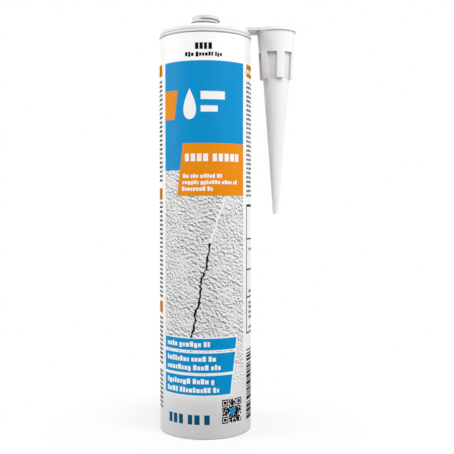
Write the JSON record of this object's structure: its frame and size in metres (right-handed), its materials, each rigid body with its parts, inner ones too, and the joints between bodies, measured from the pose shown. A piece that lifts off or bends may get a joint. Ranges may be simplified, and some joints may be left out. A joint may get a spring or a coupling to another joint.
{
  "type": "caulk tube",
  "caption": "Plastic caulk cartridge with a threaded neck, a tapered nozzle hung beside its head and a piston that slides in its open rear end.",
  "frame": {"origin": "on the barrel's axis, in the plane of the rear edge that the cartridge stands on", "axes": "+Z along the barrel towards the neck, +X from the barrel towards the hung nozzle"},
  "size_m": [0.0748, 0.0504, 0.2253],
  "materials": {
    "cartridge": "smooth white polyethylene with a printed sleeve area",
    "nozzle": "smooth white polyethylene",
    "piston": "natural soft polyethylene",
    "sealant": "smooth white paste"
  },
  "bodies": {
    "tube": {"cartridge": "cartridge", "nozzle": "nozzle", "sealant": "sealant"},
    "plunger": {"piston": "piston"}
  },
  "joints": [
    {"name": "piston_slide", "type": "slide", "parent": "tube", "child": "plunger", "axis": [0, 0, 1], "range_m": [0, 0.1708], "deforming": ["sealant"]}
  ]
}
